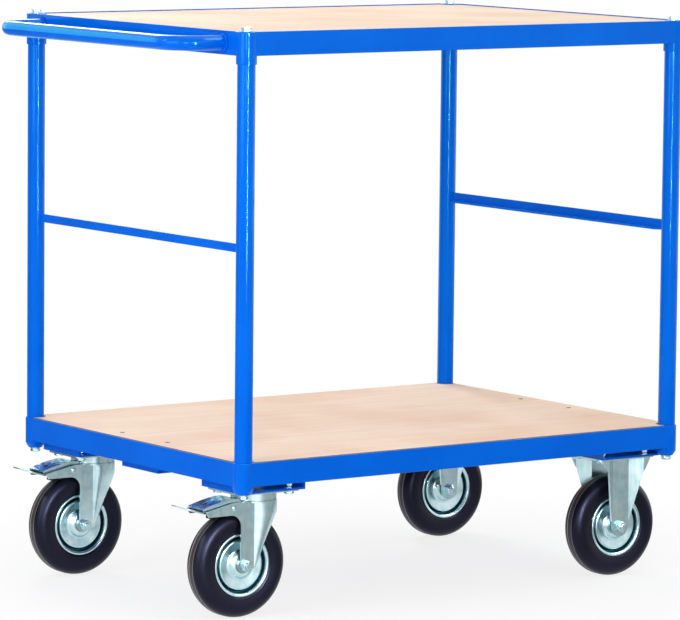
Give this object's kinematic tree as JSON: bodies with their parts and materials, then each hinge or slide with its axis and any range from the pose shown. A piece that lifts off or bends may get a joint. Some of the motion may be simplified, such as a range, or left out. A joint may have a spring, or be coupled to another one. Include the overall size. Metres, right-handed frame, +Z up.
{
  "type": "two-tier shelf trolley",
  "caption": "Push trolley with a lower and an upper wooden deck in a tubular blue steel frame, a bent push handle at one end, braked swivel castors below it and rigid castors at the far end.",
  "frame": {"origin": "on the floor, under the middle of the trolley's whole box", "axes": "+X along the length, from the push handle to the far end; +Y across, towards the back; +Z up"},
  "size_m": [1.16, 0.7684, 1.1034],
  "materials": {
    "blue_powder_coat": "gloss powder coat",
    "beech_board": "beech decor, satin",
    "zinc_plate": "bright zinc plated",
    "bearing_steel": "ground steel",
    "tyre_rubber": "moulded solid rubber",
    "brake_rubber": "matt"
  },
  "bodies": {
    "frame": {"lower_rail_front": "blue_powder_coat", "lower_rail_back": "blue_powder_coat", "lower_rail_handle_end": "blue_powder_coat", "lower_rail_far_end": "blue_powder_coat", "upper_rail_front": "blue_powder_coat", "upper_rail_back": "blue_powder_coat", "upper_rail_handle_end": "blue_powder_coat", "upper_rail_far_end": "blue_powder_coat", "lower_corner_sockets": "blue_powder_coat", "upper_corner_sockets": "blue_powder_coat", "post_handle_front": "blue_powder_coat", "post_handle_back": "blue_powder_coat", "post_far_front": "blue_powder_coat", "post_far_back": "blue_powder_coat", "tie_rail_handle_end": "blue_powder_coat", "tie_rail_far_end": "blue_powder_coat", "push_handle": "blue_powder_coat", "deck_support_channel": "blue_powder_coat", "castor_brackets": "blue_powder_coat", "lower_board": "beech_board", "upper_board": "beech_board", "post_nut_inserts": "zinc_plate", "post_washers": "zinc_plate", "post_bolts": "zinc_plate", "board_screws": "zinc_plate", "castor_bolts": "zinc_plate", "castor_nuts": "zinc_plate", "swivel_plates": "zinc_plate", "kingpins": "zinc_plate", "rigid_fork_front": "zinc_plate", "rigid_fork_back": "zinc_plate", "rigid_axle_bolts": "zinc_plate", "rigid_axle_nuts": "zinc_plate", "swivel_bearing_balls": "bearing_steel"},
    "swivel_front": {"swivel_fork_front": "zinc_plate", "brake_pin_front": "zinc_plate", "brake_spring_front": "bearing_steel", "axle_bolt_front": "zinc_plate", "axle_nut_front": "zinc_plate"},
    "pedal_front": {"brake_pedal_front": "zinc_plate", "brake_shoe_front": "brake_rubber"},
    "wheel_swivel_front": {"tyre_swivel_front": "tyre_rubber", "rim_swivel_front": "zinc_plate", "hub_swivel_front": "bearing_steel"},
    "wheel_rigid_front": {"tyre_rigid_front": "tyre_rubber", "rim_rigid_front": "zinc_plate", "hub_rigid_front": "bearing_steel"},
    "swivel_back": {"swivel_fork_back": "zinc_plate", "brake_pin_back": "zinc_plate", "brake_spring_back": "bearing_steel", "axle_bolt_back": "zinc_plate", "axle_nut_back": "zinc_plate"},
    "pedal_back": {"brake_pedal_back": "zinc_plate", "brake_shoe_back": "brake_rubber"},
    "wheel_swivel_back": {"tyre_swivel_back": "tyre_rubber", "rim_swivel_back": "zinc_plate", "hub_swivel_back": "bearing_steel"},
    "wheel_rigid_back": {"tyre_rigid_back": "tyre_rubber", "rim_rigid_back": "zinc_plate", "hub_rigid_back": "bearing_steel"}
  },
  "joints": [
    {"name": "swivel_front_turn", "type": "hinge", "parent": "frame", "child": "swivel_front", "pos_m": [-0.368, -0.281, 0.22], "axis": [0, 0, 1], "continuous": true},
    {"name": "pedal_front_press", "type": "hinge", "parent": "swivel_front", "child": "pedal_front", "pos_m": [-0.432, -0.281, 0.21], "axis": [0, 1, 0], "range_deg": [-9, 0]},
    {"name": "wheel_swivel_front_spin", "type": "hinge", "parent": "swivel_front", "child": "wheel_swivel_front", "pos_m": [-0.407, -0.281, 0.1], "axis": [0, 1, 0], "continuous": true},
    {"name": "wheel_rigid_front_spin", "type": "hinge", "parent": "frame", "child": "wheel_rigid_front", "pos_m": [0.48, -0.281, 0.1], "axis": [0, 1, 0], "continuous": true},
    {"name": "swivel_back_turn", "type": "hinge", "parent": "frame", "child": "swivel_back", "pos_m": [-0.368, 0.281, 0.22], "axis": [0, 0, 1], "continuous": true},
    {"name": "pedal_back_press", "type": "hinge", "parent": "swivel_back", "child": "pedal_back", "pos_m": [-0.432, 0.281, 0.21], "axis": [0, 1, 0], "range_deg": [-9, 0]},
    {"name": "wheel_swivel_back_spin", "type": "hinge", "parent": "swivel_back", "child": "wheel_swivel_back", "pos_m": [-0.407, 0.281, 0.1], "axis": [0, 1, 0], "continuous": true},
    {"name": "wheel_rigid_back_spin", "type": "hinge", "parent": "frame", "child": "wheel_rigid_back", "pos_m": [0.48, 0.281, 0.1], "axis": [0, 1, 0], "continuous": true}
  ]
}
